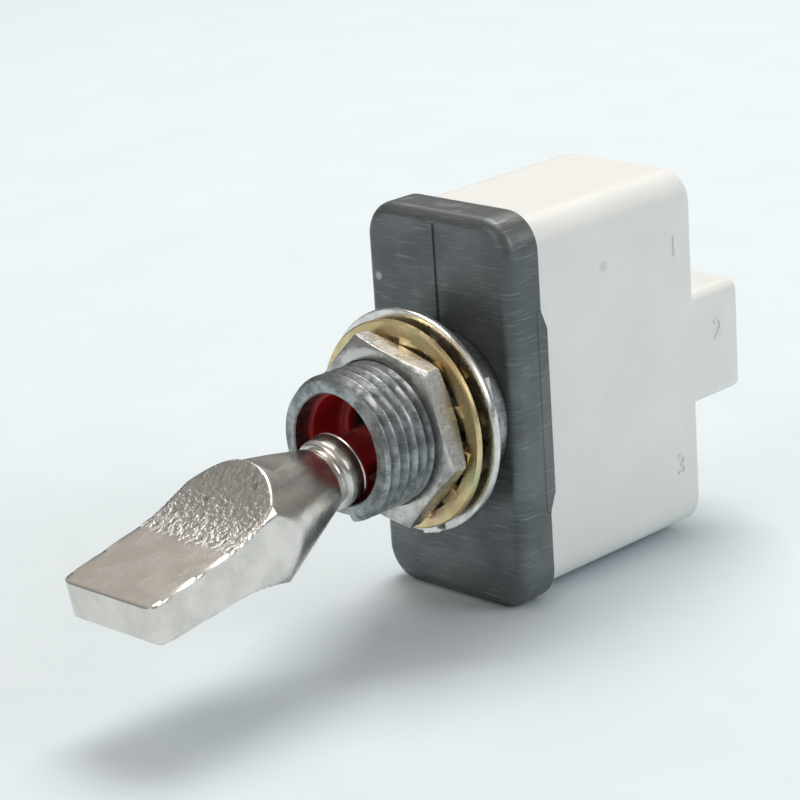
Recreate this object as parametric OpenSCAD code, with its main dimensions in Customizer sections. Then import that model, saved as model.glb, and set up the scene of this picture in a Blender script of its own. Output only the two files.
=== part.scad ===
// Panel toggle switch with a flat paddle lever.
// A pressed cover plate closes a moulded case; a threaded bushing carries the lever on a
// cross pin, and a sprung plunger in the lever's tail rocks a contact between two terminals.
// Every size is measured from the cover plate's front face, on the bushing's axis. The
// origin stands in front of it, on the same axis, in the middle of the free thread.
// +X is right seen from the front, +Y runs into the case, +Z is up along the case.

/* [Cover plate] */
// Width of the pressed cover plate
plate_w = 15.7; // [15.2:0.1:18]
// Height of the pressed cover plate
plate_h = 32.8; // [32:0.1:38]
// Thickness of the plate's sheet metal
sheet_t = 0.8; // [0.6:0.05:1]
// Corner radius of the plate, seen from the front
plate_corner_r = 3; // [2.4:0.1:3.6]
// Outer radius of the bend from the face into the skirt
bend_r = 1; // [0.6:0.1:1.4]
// Depth of the skirt, from the plate's front face
skirt_depth = 3.6; // [3:0.1:5]
// How much deeper the middle of each long skirt reaches
tongue_depth = 0.65; // [0.4:0.05:1]
// Half the length of that deeper stretch
tongue_half = 6.9; // [5:0.1:8]
// Length over which the deeper stretch slopes back at each end
tongue_slope = 1.6; // [0.8:0.1:2]
// Width of the engraved index line
index_w = 0.35; // [0.2:0.05:0.5]
// Depth of the engraved index line
index_depth = 0.15; // [0.1:0.05:0.3]

/* [Case] */
// How far the case's long sides stand inside the plate's edge
side_inset = 0.35; // [0.2:0.05:0.5]
// How far the case's ends stand inside the plate's edge
end_inset = 0.8; // [0.5:0.05:1]
// Radius of the case's long outer edges
case_corner_r = 2.6; // [2:0.1:3]
// Small radius round the case's rear edges
rear_edge_r = 0.5; // [0.3:0.1:0.8]
// Depth of the case, from the plate's front face to its rear face
case_depth = 23; // [22:0.5:30]
// Thickness of the case's side walls
case_wall = 1.6; // [1.2:0.1:2]
// Thickness of the case's rear wall
rear_wall = 5.1; // [4.6:0.1:6]
// How far the centre block stands out behind the rear face
block_rise = 5.8; // [4:0.1:8]
// Height of the centre block
block_h = 9.8; // [9:0.1:11]
// Corner radius of the centre block
block_corner_r = 1; // [0.9:0.1:1.5]
// Radius of the rounded edge round the block's rear face
block_edge_r = 0.4; // [0.3:0.05:0.4]
// Thickness of the sealing gasket under the plate
gasket_t = 0.6; // [0.4:0.1:1]

/* [Bushing] */
// Outer diameter of the bushing's thread
thread_d = 12; // [11.8:0.1:12.4]
// Pitch of the bushing's thread
thread_pitch = 1; // [0.75:0.05:1.25]
// Length of the bushing in front of the plate
bushing_len = 12.5; // [12:0.1:16]
// Diameter of the bushing's open front bore
bore_d = 9.1; // [8.9:0.05:9.4]
// Diameter of the bushing's narrow rear bore
throat_d = 7.2; // [6.9:0.1:8]
// Length of the narrow rear bore in front of the plate
throat_len = 7.2; // [6.8:0.1:8]
// Diameter of the round shoulder that seats on the plate
shoulder_d = 14; // [13:0.1:15]
// Thickness of that shoulder
shoulder_t = 1.35; // [1:0.05:2]
// Diameter of the spigot that passes through the plate
spigot_d = 10; // [9.6:0.1:10.6]
// Thickness of the staked lip behind the plate
stake_t = 0.7; // [0.5:0.1:1]
// Chamfer round the thread's front end
rim_chamfer = 0.4; // [0.2:0.05:0.6]
// Width of the keyway along the bottom of the thread
keyway_w = 2.4; // [2:0.1:3]
// Depth of the keyway below the thread's crests
keyway_depth = 0.8; // [0.6:0.05:0.95]

/* [Nuts and washers] */
// Distance across the flats of both hex nuts
nut_af = 14; // [14:0.1:15]
// Thickness of both hex nuts
nut_t = 2; // [1.6:0.1:3]
// Turn of the front nut about the bushing
front_nut_turn = -13; // [-30:1:30]
// Turn of the back nut about the bushing
back_nut_turn = -28; // [-30:1:30]
// Outer diameter of the keyed locking ring
ring_d = 18.6; // [17:0.1:20]
// Thickness of the keyed locking ring
ring_t = 0.7; // [0.5:0.05:1]
// Width of the bent tab on the ring's edge
ring_tab_w = 1.8; // [1.2:0.1:2.4]
// Turn of the tab from the key, seen from the front
ring_tab_turn = 13; // [0:1:20]
// How far the bent tab stands in front of the ring
ring_tab_rise = 0.5; // [0.3:0.05:0.6]
// Outer diameter of the toothed lock washer
washer_d = 17.3; // [16.5:0.1:18]
// Thickness of the toothed lock washer
washer_t = 0.6; // [0.4:0.05:0.8]
// Number of teeth inside the lock washer
washer_teeth = 12; // [8:1:16]
// Twist of each washer tooth
tooth_twist = 12; // [6:1:16]
// Width left between ring and lock washer for the panel
panel_gap = 0.65; // [0.6:0.05:3]

/* [Lever] */
// Tilt of the lever from the bushing's axis, each way
lever_tilt = 10; // [6:0.5:10]
// Distance of the lever's pivot in front of the plate's face
pivot_setback = 3.8; // [3.6:0.1:4.2]
// Length of the lever from its pivot to its tip
lever_reach = 33; // [31:0.1:36]
// Width of the flat paddle
paddle_w = 10.4; // [9:0.1:10.6]
// Thickness of the paddle at its tip
tip_t = 3.2; // [2.4:0.1:4]
// Angle at which each broad face slopes away from the lever's axis
tip_slope = 2.5; // [1:0.5:5]
// Radius of the paddle's two tip corners
tip_corner_r = 0.9; // [0.5:0.1:2]
// Length of the flat part of each broad face
flat_len = 8.2; // [6:0.1:10]
// Distance from the pivot to the crest where the cove meets the neck
crest_pos = 17.4; // [16.5:0.1:18]
// Radius of the neck at that crest
crest_r = 5; // [4.6:0.05:5.1]
// Height of the step that leads from the neck up to that crest
crest_step = 0.5; // [0.3:0.1:0.8]
// Distance from the pivot to the widest section
flare_pos = 19.7; // [19:0.1:21]
// Radius of the widest section
flare_r = 5.8; // [5.5:0.05:5.85]
// Distance from the pivot to the narrow end of the neck
neck_pos = 10.9; // [10.7:0.1:11.5]
// Radius of the neck's narrow end
neck_r = 2.7; // [2.5:0.05:3]
// Distance from the pivot to the rear end of the rounded collar
collar_pos = 8.2; // [8:0.1:9]
// Radius of the rounded collar
collar_r = 3; // [2.8:0.05:3.05]
// Radius of the lever's stem inside the bushing
stem_r = 1.9; // [1.6:0.05:2]
// Radius of the ball round the pivot
boss_r = 3.2; // [2.8:0.1:3.2]
// Radius of the lever's tail inside the case
tail_r = 2.1; // [1.9:0.05:2.2]
// Distance from the end of the tail to the rocker's pivot line
tail_room = 6.8; // [6:0.1:7.6]
// Radius of the pivot pin
pin_r = 0.8; // [0.6:0.05:1]

/* [Contacts] */
// Radius of the sprung plunger
plunger_r = 1.2; // [1:0.05:1.4]
// Depth of the plunger's bore in the lever's tail
plunger_bore_len = 7; // [6:0.1:8]
// Length of the plunger held in that bore
plunger_held = 3.4; // [2.5:0.1:4]
// Distance from the rocker's pivot line back to the case's rear inner wall
rocker_room = 2.9; // [2.5:0.1:3.2]
// Tilt of the rocker at the end of its travel
rocker_tilt = 12; // [8:1:14]
// Angle at which each arm of the rocker bends forward
rocker_bend = 11; // [8:1:12]
// Thickness of the rocker's strip
rocker_t = 0.8; // [0.6:0.05:1]
// Width of the rocker's strip
rocker_w = 3.6; // [3:0.1:4]
// Distance from the rocker's pivot to each moving contact
contact_reach = 7.4; // [6.6:0.1:8]
// Radius of each moving contact
contact_r = 1.4; // [1.2:0.1:1.6]
// Thickness of each moving contact
contact_t = 0.7; // [0.5:0.05:0.9]
// Radius of the rocker's trunnions
trunnion_r = 0.6; // [0.5:0.05:0.7]

/* [Terminals] */
// Thickness of the terminals' strip
terminal_t = 0.8; // [0.6:0.05:1]
// Width of each terminal's outer pad
terminal_w = 6.4; // [6:0.1:7]
// Height of each terminal's outer pad
terminal_h = 8; // [7.4:0.1:8.4]
// Width of the leg through the case's rear wall
leg_w = 4; // [3:0.1:4.4]
// Distance from each end of the case to the outer screw there
screw_inset = 5; // [4.6:0.1:5.6]
// Diameter of the terminal screws
screw_d = 3.5; // [3:0.1:4]
// Diameter of the terminal screws' heads
screw_head_d = 6; // [5.4:0.1:6.4]
// Height of the terminal screws' heads
screw_head_h = 1.8; // [1.4:0.1:2.2]
// Thickness of the washer under each screw's head
screw_washer_t = 0.6; // [0.4:0.1:0.8]
// Length of each screw behind its head
screw_len = 4; // [3.4:0.1:4.4]

/* [Hidden] */

$fn = 96;
over = 1;            // how far cutting tools run past what they cut
slip = 0.05;         // radial clearance of a piece that turns or slides in another
seat = 0.02;         // clearance of a piece that is screwed or pressed into another
seam = 0.1;          // clearance between plate and case

// Places along the bushing, measured forward from the plate's front face
thread_r = thread_d / 2;
pitch_r = thread_r - 0.325 * thread_pitch;
back_nut_z = shoulder_t;
ring_z = back_nut_z + nut_t;
washer_z = ring_z + ring_t + panel_gap;
tooth_rise = 0.25;
front_nut_z = washer_z + washer_t + tooth_rise;
free_thread_z = front_nut_z + nut_t;
origin_z = (free_thread_z + bushing_len - rim_chamfer) / 2;

// Case
case_w = plate_w - 2 * side_inset;
case_h = plate_h - 2 * end_inset;
neck_w = plate_w - 2 * sheet_t - 2 * seam;
neck_h = plate_h - 2 * sheet_t - 2 * seam;
neck_r2 = plate_corner_r - sheet_t - seam;
neck_front = sheet_t + gasket_t;
cavity_w = case_w - 2 * case_wall;
cavity_h = case_h - 2 * case_wall;
cavity_r = 1;
cavity_rear = case_depth - rear_wall;
block_back = case_depth + block_rise;
rocker_pos = cavity_rear - rocker_room;
screw_reach = case_h / 2 - screw_inset;

// Lever
tail_len = rocker_pos + pivot_setback - tail_room;
tip_r = sqrt(pow(paddle_w / 2, 2) + pow(tip_t / 2, 2));
cove_pos = lever_reach - flat_len;
cove_v = tip_t / 2 + flat_len * tan(tip_slope);
cove_run = cove_pos - crest_pos;
cove_rise = crest_r - cove_v;
cove_r = (cove_run * cove_run + cove_rise * cove_rise)
         / (2 * (cove_rise * cos(tip_slope) - cove_run * sin(tip_slope)));

// Contacts, measured back from the plate's front face
plunger_gap = 0.22;
plunger_tip = rocker_pos - rocker_t / 2 - plunger_gap + pivot_setback;
foot_y = cavity_rear - terminal_t;
touch_gap = 0.15;
arm_lean = rocker_tilt - rocker_bend;
contact_back = rocker_t / 2 + contact_t;
contact_y = rocker_pos + contact_reach * sin(arm_lean) + contact_back * cos(arm_lean);
contact_z = contact_reach * cos(arm_lean) - contact_back * sin(arm_lean);
fixed_t = foot_y - contact_y - touch_gap - contact_r * sin(abs(arm_lean));
foot_half = 2;
ear_x = rocker_w / 2 + 0.3;
ear_t = 0.8;
bracket_t = 0.6;

// Terminals
outer_leg_z = screw_reach - terminal_h / 2;
centre_leg_z = -terminal_h / 2;
screw_hole_depth = screw_len - terminal_t - screw_washer_t + 0.4;

// Moves what is measured from the plate's front face into the part's own frame
module placed() { translate([0, origin_z, 0]) children(); }

// Turns what is drawn upward so that it points out of the panel
module toward_front() { rotate([90, 0, 0]) children(); }

// Turns what is drawn upward so that it points into the case
module toward_back() { rotate([90, 0, 0]) mirror([0, 0, 1]) children(); }

// Places what is drawn upward from the pivot along the tilted lever
module along_lever() {
    translate([0, -pivot_setback, 0]) rotate([lever_tilt, 0, 0]) toward_front() children();
}

// Places what is drawn round the rocker's pivot line, at the rocker's rest tilt
module on_rocker() {
    translate([0, rocker_pos, 0]) rotate([-rocker_tilt, 0, 0]) children();
}

// Rectangle with round corners, centred
module round_rect(w, h, r) {
    square([w - 2 * r, h], center = true);
    square([w, h - 2 * r], center = true);
    for (x = [-1, 1], y = [-1, 1])
        translate([x * (w / 2 - r), y * (h / 2 - r)]) circle(r);
}

// Block with round corners whose lower face has a rounded edge all round
module soft_block(w, h, d, corner_r, edge_r) {
    linear_extrude(d) round_rect(w - 2 * edge_r, h - 2 * edge_r, corner_r - edge_r);
    translate([0, 0, edge_r]) linear_extrude(d - edge_r) round_rect(w, h, corner_r);
    for (x = [-1, 1], y = [-1, 1])
        translate([x * (w / 2 - corner_r), y * (h / 2 - corner_r), edge_r])
            rotate_extrude() translate([corner_r - edge_r, 0]) intersection() {
                circle(edge_r);
                translate([0, -edge_r]) square(2 * edge_r);
            }
    for (s = [-1, 1]) {
        translate([0, s * (h / 2 - edge_r), edge_r]) rotate([0, 90, 0])
            cylinder(h = w - 2 * corner_r, r = edge_r, center = true);
        translate([s * (w / 2 - edge_r), 0, edge_r]) rotate([90, 0, 0])
            cylinder(h = h - 2 * corner_r, r = edge_r, center = true);
    }
}

// Deeper middle stretch of a long skirt, as a flat outline: depth against height
module tongue_outline(grow) {
    root = 0.5;
    polygon([[skirt_depth - root, -tongue_half - tongue_slope - grow],
             [skirt_depth - root, tongue_half + tongue_slope + grow],
             [skirt_depth, tongue_half + tongue_slope + grow],
             [skirt_depth + tongue_depth + grow, tongue_half + grow],
             [skirt_depth + tongue_depth + grow, -tongue_half - grow],
             [skirt_depth, -tongue_half - tongue_slope - grow]]);
}

// The stretch of both long sides that the outline above covers, from x = inner outward
module tongues(inner, outer, grow) {
    for (s = [-1, 1])
        translate([s * (inner + outer) / 2, 0, 0]) rotate([0, 90, 0]) rotate([0, 0, 90])
            linear_extrude(outer - inner, center = true)
                rotate([0, 0, 90]) mirror([0, 1, 0]) tongue_outline(grow);
}

module cover_plate() {
    color([0.35, 0.38, 0.38]) toward_back() difference() {
        union() {
            soft_block(plate_w, plate_h, skirt_depth, plate_corner_r, bend_r);
            tongues(plate_w / 2 - sheet_t, plate_w / 2, 0);
        }
        translate([0, 0, sheet_t]) linear_extrude(skirt_depth + over)
            round_rect(plate_w - 2 * sheet_t, plate_h - 2 * sheet_t, plate_corner_r - sheet_t);
        translate([0, 0, -over]) cylinder(h = sheet_t + 2 * over, d = spigot_d + 2 * seat);
        index_bottom = shoulder_d / 2;
        translate([-index_w / 2, index_bottom, -over])
            cube([index_w, plate_h / 2 - bend_r - index_bottom, over + index_depth]);
    }
}

module cover_gasket() {
    color([0.12, 0.12, 0.13]) toward_back() translate([0, 0, sheet_t])
        linear_extrude(gasket_t) difference() {
            round_rect(neck_w, neck_h, neck_r2);
            round_rect(cavity_w, cavity_h, cavity_r);
        }
}

// Blind hole for the end of a terminal screw, drilled from a rear face
module screw_hole(face_y, z) {
    translate([0, face_y - screw_hole_depth, z]) toward_back()
        cylinder(h = screw_hole_depth + over, d = screw_d + 2 * slip);
}

// Slot for a terminal's leg
module leg_slot(z, rear) {
    translate([-leg_w / 2 - slip, cavity_rear - over, z - slip])
        cube([leg_w + 2 * slip, rear - cavity_rear + 2 * over, terminal_t + 2 * slip]);
}

module case_body() {
    color([0.88, 0.89, 0.86]) difference() {
        toward_back() union() {
            translate([0, 0, neck_front]) linear_extrude(skirt_depth)
                round_rect(neck_w, neck_h, neck_r2);
            translate([0, 0, case_depth]) mirror([0, 0, 1])
                soft_block(case_w, case_h, case_depth - skirt_depth - seam,
                           case_corner_r, rear_edge_r);
            translate([0, 0, block_back]) mirror([0, 0, 1])
                soft_block(case_w, block_h, block_rise + rear_wall / 2,
                           block_corner_r, block_edge_r);
        }
        toward_back() {
            translate([0, 0, neck_front - over]) linear_extrude(cavity_rear - neck_front + over)
                round_rect(cavity_w, cavity_h, cavity_r);
            tongues(neck_w / 2, case_w / 2 + over, seam);
        }
        for (s = [-1, 1]) screw_hole(case_depth, s * screw_reach);
        screw_hole(block_back, 0);
        leg_slot(outer_leg_z, case_depth);
        leg_slot(-outer_leg_z - terminal_t, case_depth);
        leg_slot(centre_leg_z, block_back);
    }
}

module threaded_bushing() {
    rear = -sheet_t - stake_t;
    flare = 0.5;
    color([0.42, 0.45, 0.46]) toward_front() difference() {
        rotate_extrude() polygon([
            [throat_d / 2 + flare, rear], [spigot_d / 2 + 0.8, rear],
            [spigot_d / 2 + 0.8, -sheet_t], [spigot_d / 2, -sheet_t], [spigot_d / 2, 0],
            [shoulder_d / 2, 0], [shoulder_d / 2, shoulder_t], [pitch_r, shoulder_t],
            [pitch_r, free_thread_z], [thread_r, free_thread_z],
            [thread_r, bushing_len - rim_chamfer], [thread_r - rim_chamfer, bushing_len],
            [bore_d / 2, bushing_len], [bore_d / 2, throat_len],
            [throat_d / 2, throat_len], [throat_d / 2, rear + flare]]);
        translate([-keyway_w / 2, -thread_r - over, shoulder_t])
            cube([keyway_w, keyway_depth + over, bushing_len]);
        translate([0, 0, pivot_setback]) rotate([0, 90, 0])
            cylinder(h = 2 * thread_r + over, r = pin_r + seat, center = true);
    }
}

module lever_seal() {
    lip_z = bushing_len - 1.6;
    web_t = 0.8;
    lip_t = 0.45;
    sweep = stem_r + (throat_len + web_t - pivot_setback) * tan(lever_tilt);
    color([0.75, 0.1, 0.1]) toward_front() rotate_extrude() polygon([
        [sweep + 0.35, throat_len], [bore_d / 2, throat_len], [bore_d / 2, lip_z],
        [bore_d / 2 - lip_t, lip_z], [bore_d / 2 - lip_t, throat_len + web_t],
        [sweep + 0.35, throat_len + web_t]]);
}

module pivot_pin() {
    color([0.7, 0.7, 0.7]) translate([0, -pivot_setback, 0]) rotate([0, 90, 0])
        cylinder(h = 2 * pitch_r - 0.6, r = pin_r, center = true);
}

// Hex nut, chamfered on both faces and countersunk round its bore
module hex_nut(turn) {
    corner_r = nut_af / sqrt(3);
    flat_r = nut_af / 2 - 0.1;
    past_r = corner_r + 0.5;
    bevel = (past_r - flat_r) * tan(18);
    bore_r = pitch_r + seat;
    sink = 0.35;
    intersection() {
        rotate([0, 0, turn]) cylinder(h = nut_t, r = corner_r, $fn = 6);
        rotate_extrude() polygon([
            [bore_r, sink], [bore_r + sink, 0], [flat_r, 0], [past_r, bevel],
            [past_r, nut_t - bevel], [flat_r, nut_t], [bore_r + sink, nut_t],
            [bore_r, nut_t - sink]]);
    }
}

module back_nut() {
    color([0.66, 0.66, 0.62]) toward_front() translate([0, 0, back_nut_z]) hex_nut(back_nut_turn);
}

module front_nut() {
    color([0.66, 0.66, 0.62]) toward_front() translate([0, 0, front_nut_z]) hex_nut(front_nut_turn);
}

module locking_ring() {
    key_w = keyway_w - 0.3;
    key_tip = thread_r - keyway_depth + 0.15;
    tab_t = ring_t;
    notch = 0.4;
    color([0.75, 0.76, 0.74]) toward_front() translate([0, 0, ring_z]) {
        difference() {
            cylinder(h = ring_t, d = ring_d);
            translate([0, 0, -over]) cylinder(h = ring_t + 2 * over, r = thread_r + seat);
            rotate([0, 0, ring_tab_turn]) for (s = [-1, 1])
                translate([s * (ring_tab_w + notch) / 2 - notch / 2, -ring_d / 2 - over, -over])
                    cube([notch, 1 + over, ring_t + 2 * over]);
        }
        intersection() {
            translate([-key_w / 2, -thread_r - 0.5, 0]) cube([key_w, thread_r + 0.5 - key_tip, ring_t]);
            cylinder(h = ring_t, r = thread_r + 0.4);
        }
        rotate([0, 0, ring_tab_turn]) intersection() {
            translate([-ring_tab_w / 2, -ring_d / 2, ring_t / 2])
                cube([ring_tab_w, tab_t, ring_t / 2 + ring_tab_rise]);
            cylinder(h = ring_t + ring_tab_rise, d = ring_d);
        }
    }
}

module lock_washer() {
    inner_r = thread_r + 0.15;
    root_r = nut_af / 2 + 0.35;
    tooth_w = 2 * PI * inner_r / washer_teeth * 0.7;
    color([0.72, 0.66, 0.42]) toward_front() translate([0, 0, washer_z]) difference() {
        union() {
            difference() {
                cylinder(h = washer_t, d = washer_d);
                translate([0, 0, -over]) cylinder(h = washer_t + 2 * over, r = root_r);
            }
            for (i = [0 : washer_teeth - 1])
                rotate([0, 0, (i + 0.5) * 360 / washer_teeth])
                    translate([inner_r - 0.5, 0, washer_t / 2]) rotate([tooth_twist, 0, 0])
                        translate([0, -tooth_w / 2, -washer_t / 2])
                            cube([root_r - inner_r + 0.8, tooth_w, washer_t]);
        }
        translate([0, 0, -over]) cylinder(h = washer_t + 2 * over, r = inner_r);
    }
}

// Turned form of the whole lever, from the tail's end to the tip
module lever_turning() {
    collar_front = neck_pos - 0.5;
    groove_r = neck_r - 0.2;
    steps = 12;
    boss_join = sqrt(boss_r * boss_r - stem_r * stem_r);
    tail_join = sqrt(boss_r * boss_r - tail_r * tail_r);
    round_r = collar_r - groove_r;
    rear_edge = 0.25;
    boss_rear = asin(-tail_join / boss_r);
    boss_fore = asin(boss_join / boss_r);
    rotate_extrude() polygon(concat(
        [[0, -tail_len], [tail_r - 0.3, -tail_len], [tail_r, -tail_len + 0.3]],
        [for (i = [0 : steps]) let (a = boss_rear + (boss_fore - boss_rear) * i / steps)
            [boss_r * cos(a), boss_r * sin(a)]],
        [[stem_r, collar_pos], [collar_r - rear_edge, collar_pos],
         [collar_r, collar_pos + rear_edge]],
        [for (i = [0 : steps]) let (a = 90 * i / steps)
            [groove_r + round_r * cos(a), collar_front - round_r + round_r * sin(a)]],
        [[groove_r, neck_pos - 0.15], [neck_r, neck_pos],
         [crest_r - crest_step, crest_pos - crest_step], [crest_r, crest_pos], [flare_r, flare_pos], [tip_r, lever_reach], [0, lever_reach]]));
}

module toggle_lever() {
    plan_len = lever_reach + tail_len + over;
    color([0.74, 0.72, 0.68]) along_lever() difference() {
        intersection() {
            lever_turning();
            translate([0, 0, lever_reach - plan_len / 2]) rotate([90, 0, 0])
                linear_extrude(4 * flare_r, center = true)
                    round_rect(paddle_w, plan_len, tip_corner_r);
        }
        for (s = [0, 1]) mirror([0, s, 0]) {
            translate([0, cove_v + cove_r * cos(tip_slope), cove_pos + cove_r * sin(tip_slope)])
                rotate([0, 90, 0]) cylinder(h = 4 * flare_r, r = cove_r, center = true, $fn = 180);
            translate([-2 * flare_r, cove_v, cove_pos]) rotate([tip_slope, 0, 0])
                cube([4 * flare_r, flare_r, 2 * flat_len]);
        }
        rotate([0, 90, 0]) cylinder(h = 4 * boss_r, r = pin_r + slip, center = true);
        translate([0, 0, -tail_len - over])
            cylinder(h = plunger_bore_len + over, r = plunger_r + slip);
    }
}

module drive_plunger() {
    held_end = tail_len - plunger_held;
    color([0.85, 0.82, 0.7]) along_lever() mirror([0, 0, 1]) {
        translate([0, 0, held_end]) cylinder(h = plunger_tip - plunger_r - held_end, r = plunger_r);
        translate([0, 0, plunger_tip - plunger_r]) sphere(plunger_r);
    }
}

// Wire wound round the lever's axis, as one swept tube
module plunger_spring() {
    wire_r = 0.14;
    coil_r = plunger_r - wire_r - 0.05;
    low = tail_len - plunger_bore_len + wire_r + 0.02;
    high = tail_len - plunger_held - wire_r - 0.02;
    turns = 5;
    per_turn = 14;
    sides = 6;
    rings = turns * per_turn;
    function spring_point(i, k) =
        let (a = 360 * i / per_turn, b = 360 * k / sides, r = coil_r + wire_r * cos(b))
        [r * cos(a), r * sin(a), low + (high - low) * i / rings + wire_r * sin(b)];
    points = [for (i = [0 : rings], k = [0 : sides - 1]) spring_point(i, k)];
    walls = [for (i = [0 : rings - 1], k = [0 : sides - 1])
        [i * sides + k, i * sides + (k + 1) % sides,
         (i + 1) * sides + (k + 1) % sides, (i + 1) * sides + k]];
    ends = [[for (k = [sides - 1 : -1 : 0]) k],
            [for (k = [0 : sides - 1]) rings * sides + k]];
    color([0.6, 0.6, 0.6]) along_lever() mirror([0, 0, 1])
        polyhedron(points = points, faces = concat(walls, ends));
}

// Stands a piece on one bent arm of the rocker: +Z along the arm, +Y behind it
module on_arm(side) {
    mirror([0, 0, side < 0 ? 1 : 0]) rotate([rocker_bend, 0, 0]) children();
}

module contact_rocker() {
    rivet_r = 0.6;
    arm_len = contact_reach + contact_r + 0.4;
    color([0.72, 0.45, 0.3]) on_rocker() {
        difference() {
            union() {
                for (side = [-1, 1]) on_arm(side)
                    translate([-rocker_w / 2, -rocker_t / 2, 0]) cube([rocker_w, rocker_t, arm_len]);
                rotate([0, 90, 0]) cylinder(h = rocker_w, r = rocker_t / 2, center = true);
                rotate([0, 90, 0])
                    cylinder(h = 2 * (ear_x + ear_t + 0.3), r = trunnion_r, center = true);
            }
            for (side = [-1, 1]) on_arm(side) translate([0, 0, contact_reach]) rotate([90, 0, 0])
                cylinder(h = 4 * rocker_t, r = rivet_r + seat, center = true);
        }
    }
}

// Silver contact riveted through an arm
module moving_contact(side) {
    rivet_r = 0.6;
    head_h = 0.25;
    color([0.86, 0.86, 0.84]) on_rocker() on_arm(side) translate([0, rocker_t / 2, contact_reach])
        toward_back() rotate_extrude() polygon([
            [0, -rocker_t - head_h], [0.95, -rocker_t - head_h], [0.95, -rocker_t],
            [rivet_r, -rocker_t], [rivet_r, 0], [contact_r, 0], [contact_r, contact_t - 0.2],
            [contact_r - 0.35, contact_t], [0, contact_t]]);
}

module upper_moving_contact() { moving_contact(1); }

module lower_moving_contact() { moving_contact(-1); }

module rocker_support() {
    ear_h = 1.3;
    tip_y = rocker_pos - 0.9;
    base_y = foot_y - bracket_t;
    color([0.78, 0.68, 0.4]) difference() {
        union() {
            translate([-ear_x - ear_t, base_y, -foot_half])
                cube([2 * (ear_x + ear_t), bracket_t, 2 * foot_half]);
            for (s = [-1, 1]) translate([s * (ear_x + ear_t / 2) - ear_t / 2, tip_y, -ear_h])
                cube([ear_t, base_y - tip_y + bracket_t / 2, 2 * ear_h]);
        }
        translate([0, rocker_pos, 0]) rotate([0, 90, 0])
            cylinder(h = 4 * ear_x, r = trunnion_r + slip, center = true);
        translate([-2 * ear_x, tip_y - over, -trunnion_r - slip])
            cube([4 * ear_x, rocker_pos - tip_y + over, 2 * (trunnion_r + slip)]);
    }
}

// Fixed contact on a terminal's foot
module fixed_contact(side) {
    fixed_r = contact_r + 0.3;
    color([0.86, 0.86, 0.84]) translate([0, foot_y, side * contact_z]) toward_front()
        rotate_extrude() polygon([[0, 0], [fixed_r, 0], [fixed_r, fixed_t / 2],
                                  [fixed_r - 0.2, fixed_t], [0, fixed_t]]);
}

module upper_fixed_contact() { fixed_contact(1); }

module lower_fixed_contact() { fixed_contact(-1); }

// Bent strip: a pad outside with a screw hole, a leg through the wall, a foot inside
module terminal(pad_y, leg_z, screw_z, foot_low, foot_high) {
    difference() {
        union() {
            translate([-terminal_w / 2, pad_y, leg_z]) cube([terminal_w, terminal_t, terminal_h]);
            translate([-leg_w / 2, foot_y, leg_z]) cube([leg_w, pad_y - foot_y + terminal_t / 2, terminal_t]);
            translate([-leg_w / 2, foot_y, foot_low]) cube([leg_w, terminal_t, foot_high - foot_low]);
        }
        translate([0, pad_y - over, screw_z]) toward_back()
            cylinder(h = terminal_t + 2 * over, d = screw_d + 2 * seat);
    }
}

module outer_terminal() {
    terminal(case_depth, outer_leg_z, screw_reach, contact_z - foot_half,
             max(outer_leg_z, contact_z) + foot_half);
}

module upper_terminal() { color([0.8, 0.72, 0.45]) outer_terminal(); }

module lower_terminal() { color([0.8, 0.72, 0.45]) mirror([0, 0, 1]) outer_terminal(); }

module centre_terminal() {
    color([0.8, 0.72, 0.45]) terminal(block_back, centre_leg_z, 0, centre_leg_z, foot_half);
}

module terminal_washer(face_y, z) {
    color([0.7, 0.7, 0.7]) translate([0, face_y + terminal_t, z]) toward_back() difference() {
        cylinder(h = screw_washer_t, d = screw_head_d);
        translate([0, 0, -over]) cylinder(h = screw_washer_t + 2 * over, d = screw_d + 4 * slip);
    }
}

module upper_terminal_washer() { terminal_washer(case_depth, screw_reach); }

module centre_terminal_washer() { terminal_washer(block_back, 0); }

module lower_terminal_washer() { terminal_washer(case_depth, -screw_reach); }

module terminal_screw(face_y, z) {
    edge = 0.5;
    slot_w = 0.9;
    slot_depth = screw_head_h * 0.55;
    color([0.72, 0.72, 0.7]) translate([0, face_y + terminal_t + screw_washer_t, z])
        toward_back() difference() {
            rotate_extrude() polygon([
                [0, -screw_len], [screw_d / 2 - 0.4, -screw_len], [screw_d / 2, -screw_len + 0.4],
                [screw_d / 2, 0], [screw_head_d / 2, 0], [screw_head_d / 2, screw_head_h - edge],
                [screw_head_d / 2 - edge, screw_head_h - 0.1], [0, screw_head_h]]);
            translate([-screw_head_d, -slot_w / 2, screw_head_h - slot_depth])
                cube([2 * screw_head_d, slot_w, screw_head_h]);
        }
}

module upper_terminal_screw() { terminal_screw(case_depth, screw_reach); }

module centre_terminal_screw() { terminal_screw(block_back, 0); }

module lower_terminal_screw() { terminal_screw(case_depth, -screw_reach); }

placed() cover_plate();
placed() cover_gasket();
placed() case_body();
placed() threaded_bushing();
placed() lever_seal();
placed() pivot_pin();
placed() back_nut();
placed() locking_ring();
placed() lock_washer();
placed() front_nut();
placed() toggle_lever();
placed() drive_plunger();
placed() plunger_spring();
placed() contact_rocker();
placed() upper_moving_contact();
placed() lower_moving_contact();
placed() rocker_support();
placed() upper_fixed_contact();
placed() lower_fixed_contact();
placed() upper_terminal();
placed() centre_terminal();
placed() lower_terminal();
placed() upper_terminal_washer();
placed() centre_terminal_washer();
placed() lower_terminal_washer();
placed() upper_terminal_screw();
placed() centre_terminal_screw();
placed() lower_terminal_screw();
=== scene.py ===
"""Panel toggle switch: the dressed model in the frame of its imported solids.

Every piece is drawn in millimetres in the switch's own frame: z runs forward out of the
panel from the cover plate's front face, y runs up the case and x runs to the right. A
finished piece is then laid into the row frame, in metres.
"""
from __future__ import annotations

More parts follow.
